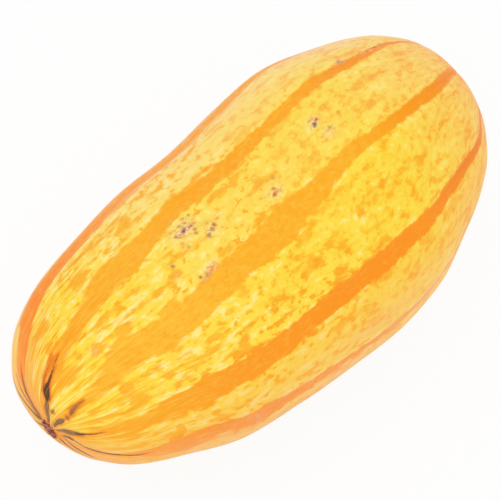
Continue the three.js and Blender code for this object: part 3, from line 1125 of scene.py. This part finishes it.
    # relief: pores, faint grain along the fruit, scabs
    pores = s.noise(growth, 1500.0, 2.0, 0.6)
    height = s.math("ADD", s.math("MULTIPLY", pores, 0.05), s.math("MULTIPLY", fine, 0.02))
    height = s.math("MULTIPLY_ADD", broad, 0.03, height)
    height = s.math("MULTIPLY_ADD", scabs, 0.12, height)
    height = s.math("MULTIPLY_ADD", dark, -0.1, height)
    bump = s.add("Bump")
    s.feed(bump.inputs["Strength"], 0.7)
    s.feed(bump.inputs["Distance"], mm)
    s.feed(bump.inputs["Height"], height)

    rough = s.between(fine, -1.0, 1.0, 0.4, 0.54)
    rough = s.math("MULTIPLY_ADD", s.math("MAXIMUM", scabs, scarMask), 0.3, rough, clamp=True)
    shader = s.add("BsdfPrincipled")
    s.feed(shader.inputs["Base Color"], colour)
    s.feed(shader.inputs["Roughness"], rough)
    dull = s.math("MULTIPLY", s.math("MULTIPLY", mask, stripe[2]), s.between(along, 0.15, 0.3, -0.12, 0.0))
    s.feed(shader.inputs["Specular IOR Level"], s.math("ADD", dull, 0.17))
    s.feed(shader.inputs["Sheen Weight"], 0.06)
    s.feed(shader.inputs["Sheen Roughness"], 0.4)
    s.feed(shader.inputs["Normal"], bump.outputs[0])
    s.feed(s.add("OutputMaterial").inputs["Surface"], shader.outputs[0])
    return material


stalkLook = {"bark": tint(150, 124, 78), "pale": tint(196, 172, 120), "dark": tint(88, 68, 42)}


def stalkMaterial():
    look = stalkLook
    material = bpy.data.materials.new("dryStalk")
    material.use_nodes = True
    material.node_tree.nodes.clear()
    s = Shading(material.node_tree)
    growth = s.attribute("growth")
    fibres = s.noise(s.vector("MULTIPLY", growth, (0.15, 1, 1)), 900.0, 4.0, 0.65)
    specks = s.noise(growth, 1400.0, 3.0, 0.6)
    colour = s.mix(s.between(fibres, 0.35, 0.65), look["bark"], look["pale"])
    colour = s.mix(s.between(specks, 0.58, 0.7, 0.0, 0.7), colour, look["dark"])
    bump = s.add("Bump")
    s.feed(bump.inputs["Strength"], 0.9)
    s.feed(bump.inputs["Distance"], mm)
    s.feed(bump.inputs["Height"], s.math("MULTIPLY", s.math("ADD", fibres, specks), 0.5))
    shader = s.add("BsdfPrincipled")
    s.feed(shader.inputs["Base Color"], colour)
    s.feed(shader.inputs["Roughness"], s.between(specks, 0.3, 0.7, 0.75, 0.95))
    s.feed(shader.inputs["Specular IOR Level"], 0.25)
    s.feed(shader.inputs["Normal"], bump.outputs[0])
    s.feed(s.add("OutputMaterial").inputs["Surface"], shader.outputs[0])
    return material


def dress(piece, material, node):
    piece.data.materials.clear()
    piece.data.materials.append(material)
    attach(piece, "root")
    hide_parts(node)


dress(rind, rindMaterial(), "fruit")
dress(stub, stalkMaterial(), "stem")
print("materials on")


studio = {
    "floorSize": 6.0,
    "floorDrop": 0.0002,
    "floorColour": tint(250, 250, 250),
    "whiteShare": 0.9,
    "worldLight": 0.95,
    "keyPower": 2.5,
    "keySize": 1.6,
    "keyFrom": (-0.9, -0.5, 1.9),
}
cameraSet = {
    "azimuth": -43.55,
    "elevation": 64.32,
    "distance": 1.366,
    "lens": 227.5,
    "film": 36,
    "aim": (-1.1, 5.4, 1.25),  # millimetres from the middle of the box
}

bpy.ops.object.select_all(action="DESELECT")
bpy.ops.mesh.primitive_plane_add(size=studio["floorSize"], location=(0, 0, -studio["floorDrop"]))
floor = bpy.context.object
floor.name = "floor"
paper = bpy.data.materials.new("floorPaper")
paper.use_nodes = True
paper.node_tree.nodes.clear()
s = Shading(paper.node_tree)
matte = s.add("BsdfDiffuse")
s.feed(matte.inputs["Color"], studio["floorColour"])
white = s.add("Emission")
s.feed(white.inputs["Strength"], 1.0)
# the camera sees the paper mostly as plain white, with the shadow left faintly on it
mixed = s.add("MixShader")
seen = s.add("LightPath").outputs["Is Camera Ray"]
s.feed(mixed.inputs[0], s.math("MULTIPLY", seen, studio["whiteShare"]))
s.feed(mixed.inputs[1], matte.outputs[0])
s.feed(mixed.inputs[2], white.outputs[0])
s.feed(s.add("OutputMaterial").inputs["Surface"], mixed.outputs[0])
floor.data.materials.append(paper)

world = bpy.data.worlds.new("studio")
world.use_nodes = True
world.node_tree.nodes.clear()
s = Shading(world.node_tree)
seen = s.add("LightPath").outputs["Is Camera Ray"]
glow = s.add("Background")
s.feed(glow.inputs["Color"], (1, 1, 1, 1))
s.feed(glow.inputs["Strength"], s.between(seen, 0.0, 1.0, studio["worldLight"], 1.0, smooth=False))
s.feed(s.add("OutputWorld").inputs["Surface"], glow.outputs[0])
bpy.context.scene.world = world

bpy.ops.object.light_add(type="AREA", location=studio["keyFrom"])
key = bpy.context.object
key.name = "keyLight"
key.data.size = studio["keySize"]
key.data.energy = studio["keyPower"]
middle = Vector((np.array(cadBox[0]) + np.array(cadBox[1])) / 2)
key.rotation_euler = (middle - key.location).to_track_quat("-Z", "Y").to_euler()

swing, rise = math.radians(cameraSet["azimuth"]), math.radians(cameraSet["elevation"])
back = Vector((math.sin(swing) * math.cos(rise), -math.cos(swing) * math.cos(rise), math.sin(rise)))
aim = middle + Vector(cameraSet["aim"]) * mm
standAt = aim + back * cameraSet["distance"]
bpy.ops.object.camera_add(location=standAt, rotation=(math.pi / 2 - rise, 0, swing))
camera = bpy.context.object
camera.name = "camera"
camera.data.lens = cameraSet["lens"]
camera.data.sensor_width = cameraSet["film"]
bpy.context.scene.camera = camera
bpy.context.scene.view_settings.view_transform = "Standard"
print("studio ready")
